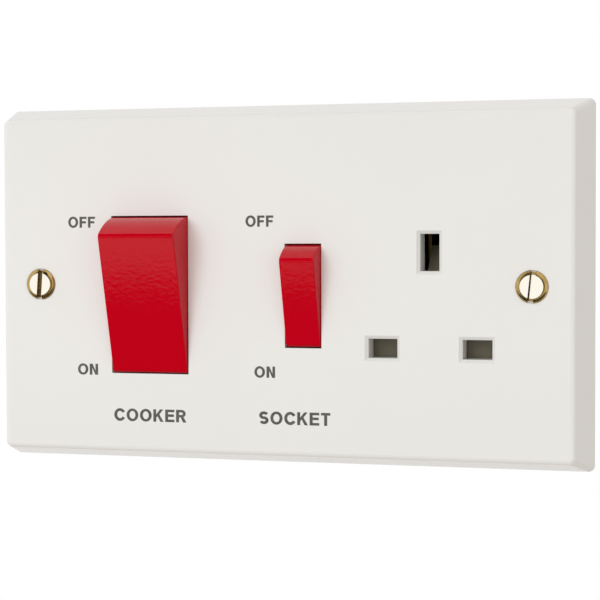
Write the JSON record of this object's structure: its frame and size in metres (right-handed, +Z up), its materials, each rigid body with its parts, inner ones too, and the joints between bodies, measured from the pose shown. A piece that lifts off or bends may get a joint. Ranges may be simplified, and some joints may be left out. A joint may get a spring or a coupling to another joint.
{
  "type": "cooker control unit",
  "caption": "Wall unit with a double-pole rocker switch for a cooker beside a switched, shuttered three-pin socket, on one moulded plate.",
  "frame": {"origin": "centre of the plate's rear rim, on the wall", "axes": "+Z up, +X to the right as seen from the front, and +Y into the wall"},
  "size_m": [0.146, 0.0433, 0.086],
  "materials": {
    "plate_white": "gloss white moulded plastic",
    "rocker_red": "gloss red moulded plastic",
    "shutter_grey": "dull olive grey moulded plastic",
    "base_black": "matt black moulded plastic",
    "plunger_nylon": "natural nylon",
    "brass": "pressed and sawn brass",
    "fixing_brass": "bright yellow plating",
    "clamp_screw_brass": "turned brass",
    "contact_silver": "dull silver",
    "spring_steel": "drawn spring wire",
    "screw_zinc": "bright zinc plating"
  },
  "bodies": {
    "unit": {"front_plate": "plate_white", "fixing_screws": "fixing_brass", "rear_base": "base_black", "base_screws": "screw_zinc", "fixed_contact_tips": "contact_silver", "live_supply_bar": "brass", "neutral_supply_bar": "brass", "live_load_bracket": "brass", "neutral_load_bracket": "brass", "socket_live_bar": "brass", "earth_strap": "brass", "live_supply_terminal": "brass", "neutral_supply_terminal": "brass", "live_load_terminal": "brass", "neutral_load_terminal": "brass", "earth_terminal": "brass", "terminal_screws": "clamp_screw_brass", "shutter_spring": "spring_steel"},
    "cooker_rocker": {"cooker_rocker": "rocker_red", "cooker_live_spring": "spring_steel", "cooker_neutral_spring": "spring_steel"},
    "socket_rocker": {"socket_rocker": "rocker_red", "socket_spring": "spring_steel"},
    "shutter": {"shutter": "shutter_grey"},
    "cooker_live_plunger": {"cooker_live_plunger": "plunger_nylon"},
    "cooker_live_contact": {"cooker_live_seesaw": "brass", "cooker_live_moving_tip": "contact_silver"},
    "cooker_neutral_plunger": {"cooker_neutral_plunger": "plunger_nylon"},
    "cooker_neutral_contact": {"cooker_neutral_seesaw": "brass", "cooker_neutral_moving_tip": "contact_silver"},
    "socket_plunger": {"socket_plunger": "plunger_nylon"},
    "socket_contact": {"socket_seesaw": "brass", "socket_moving_tip": "contact_silver"}
  },
  "joints": [
    {"name": "cooker_switch", "type": "hinge", "parent": "unit", "child": "cooker_rocker", "pos_m": [-0.03194, -0.0093, -0.00243], "axis": [-1, 0, 0], "range_deg": [0, 32]},
    {"name": "socket_switch", "type": "hinge", "parent": "unit", "child": "socket_rocker", "pos_m": [0.00643, -0.0093, -0.00243], "axis": [-1, 0, 0], "range_deg": [0, 32]},
    {"name": "cooker_live_plunger_slide", "type": "slide", "parent": "cooker_rocker", "child": "cooker_live_plunger", "axis": [0, -0.9613, -0.2756], "range_m": [0, 0.0015], "stiffness_N_per_m": 600, "springref_m": -0.002, "deforming": ["cooker_live_spring"]},
    {"name": "cooker_live_contact_tilt", "type": "hinge", "parent": "unit", "child": "cooker_live_contact", "pos_m": [-0.02694, 0.0045, -0.00243], "axis": [1, 0, 0], "range_deg": [0, 20]},
    {"name": "cooker_neutral_plunger_slide", "type": "slide", "parent": "cooker_rocker", "child": "cooker_neutral_plunger", "axis": [0, -0.9613, -0.2756], "range_m": [0, 0.0015], "stiffness_N_per_m": 600, "springref_m": -0.002, "deforming": ["cooker_neutral_spring"]},
    {"name": "cooker_neutral_contact_tilt", "type": "hinge", "parent": "unit", "child": "cooker_neutral_contact", "pos_m": [-0.03694, 0.0045, -0.00243], "axis": [1, 0, 0], "range_deg": [0, 20]},
    {"name": "socket_plunger_slide", "type": "slide", "parent": "socket_rocker", "child": "socket_plunger", "axis": [0, -0.9613, -0.2756], "range_m": [0, 0.0015], "stiffness_N_per_m": 600, "springref_m": -0.002, "deforming": ["socket_spring"]},
    {"name": "socket_contact_tilt", "type": "hinge", "parent": "unit", "child": "socket_contact", "pos_m": [0.00643, 0.0045, -0.00243], "axis": [1, 0, 0], "range_deg": [0, 20]},
    {"name": "shutter_slide", "type": "slide", "parent": "unit", "child": "shutter", "axis": [0, 0, -1], "range_m": [0, 0.0054], "stiffness_N_per_m": 150, "springref_m": -0.004, "deforming": ["shutter_spring"]}
  ],
  "couplings": [
    {"joint": "cooker_live_contact_tilt", "follows": "cooker_switch", "ratio": 0.625},
    {"joint": "cooker_neutral_contact_tilt", "follows": "cooker_switch", "ratio": 0.625},
    {"joint": "socket_contact_tilt", "follows": "socket_switch", "ratio": 0.625}
  ]
}
